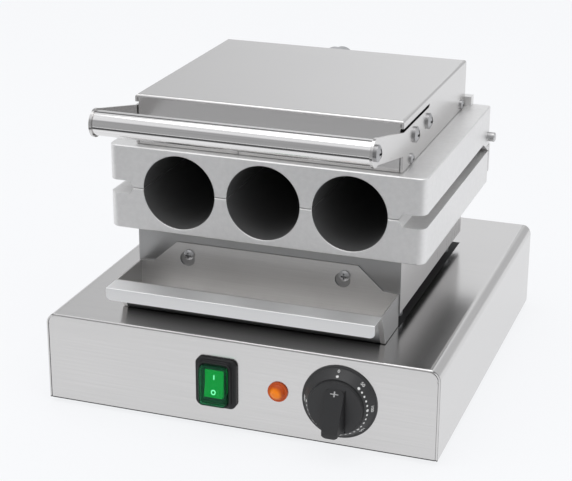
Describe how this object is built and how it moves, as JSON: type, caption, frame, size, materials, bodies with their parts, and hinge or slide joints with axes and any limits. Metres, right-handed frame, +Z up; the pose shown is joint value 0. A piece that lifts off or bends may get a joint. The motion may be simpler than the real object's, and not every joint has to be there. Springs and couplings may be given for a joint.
{
  "type": "heated bun press",
  "caption": "Countertop cooker: two thick hinged plates close on round bun cavities, on a riser over a steel base with switch, lamp, thermostat and lift-off crumb tray.",
  "frame": {"origin": "on the table under the middle of the overall box", "axes": "+X to the right seen from the front, +Y from the control panel towards the rear, +Z up"},
  "size_m": [0.32, 0.376, 0.2507],
  "materials": {
    "casing_steel": "fine brushed stainless sheet, satin",
    "lid_steel": "fine brushed stainless sheet, satin",
    "riser_steel": "brushed stainless sheet",
    "tray_steel": "brushed stainless sheet",
    "zinc_steel": "plain zinc-plated sheet",
    "screw_steel": "bright turned steel",
    "pin_steel": "ground steel",
    "polished_tube": "polished stainless tube",
    "plate_aluminium": "milled satin aluminium, cavities with a black coating",
    "heater_sheath": "dark oxidised sheath",
    "mineral_wool": "matte felted wool",
    "copper_tube": "drawn copper",
    "gland_metal": "turned metal",
    "gland_plastic": "moulded black nylon",
    "conduit_grey": "smooth grey sleeve",
    "ivory_plastic": "moulded ceramic or plastic",
    "foot_rubber": "matte black rubber",
    "bezel_plastic": "moulded black plastic",
    "scale_plastic": "moulded black plastic with a white scale",
    "knob_plastic": "moulded black plastic",
    "boot_green": "clear green splash cover",
    "rocker_green": "translucent green, white marks",
    "lamp_amber": "clear amber lens"
  },
  "bodies": {
    "base": {"base_cover": "casing_steel", "base_bottom_plate": "zinc_steel", "bottom_screws": "screw_steel", "rubber_feet": "foot_rubber", "foot_screws": "screw_steel", "terminal_block": "ivory_plastic", "cord_gland": "gland_plastic", "cord_gland_nut": "gland_plastic", "thermostat_body": "ivory_plastic", "scale_cone": "scale_plastic", "thermostat_screws": "screw_steel", "thermostat_capillary": "copper_tube", "thermostat_bulb": "copper_tube", "switch_bezel": "bezel_plastic", "switch_body": "bezel_plastic", "switch_boot": "boot_green", "pilot_lamp_lens": "lamp_amber", "pilot_lamp_body": "ivory_plastic", "riser_box": "riser_steel", "riser_spacers": "zinc_steel", "tie_bolts": "screw_steel", "wiring_bush": "foot_rubber", "tray_screws": "screw_steel", "lower_plate": "plate_aluminium", "lower_heater": "heater_sheath", "lower_clamp_plate": "zinc_steel", "lower_clamp_bolts": "screw_steel", "lower_insulation": "mineral_wool", "hinge_rail": "plate_aluminium", "rail_screws": "screw_steel", "hinge_pin": "pin_steel", "hose_gland_base": "gland_metal", "wiring_hose": "conduit_grey"},
    "lid": {"upper_plate": "plate_aluminium", "upper_heater": "heater_sheath", "upper_clamp_plate": "zinc_steel", "upper_clamp_bolts": "screw_steel", "lid_insulation": "mineral_wool", "lid_cover": "lid_steel", "lid_brackets": "zinc_steel", "bracket_bolts": "screw_steel", "lid_screws_large": "screw_steel", "lid_screws_small": "screw_steel", "rear_bar": "plate_aluminium", "rear_bar_screws": "screw_steel", "handle_tube": "polished_tube", "handle_plugs": "gland_plastic", "handle_screws": "screw_steel", "hose_gland_lid": "gland_metal"},
    "knob": {"thermostat_knob": "knob_plastic", "thermostat_spindle": "pin_steel"},
    "rocker": {"switch_rocker": "rocker_green"},
    "tray": {"crumb_tray": "tray_steel"}
  },
  "joints": [
    {"name": "lid_hinge", "type": "hinge", "parent": "base", "child": "lid", "pos_m": [0, 0.102, 0.177], "axis": [-1, 0, 0], "range_deg": [0, 95], "deforming": ["wiring_hose"]},
    {"name": "knob_turn", "type": "hinge", "parent": "base", "child": "knob", "pos_m": [0.0834, -0.172, 0.04075], "axis": [0, 1, 0], "range_deg": [0, 270]},
    {"name": "rocker_rock", "type": "hinge", "parent": "base", "child": "rocker", "pos_m": [-0.0156, -0.16, 0.04075], "axis": [1, 0, 0], "range_deg": [0, 14]},
    {"name": "tray_lift", "type": "slide", "parent": "base", "child": "tray", "axis": [0, 0, 1], "range_m": [0, 0.004]}
  ]
}
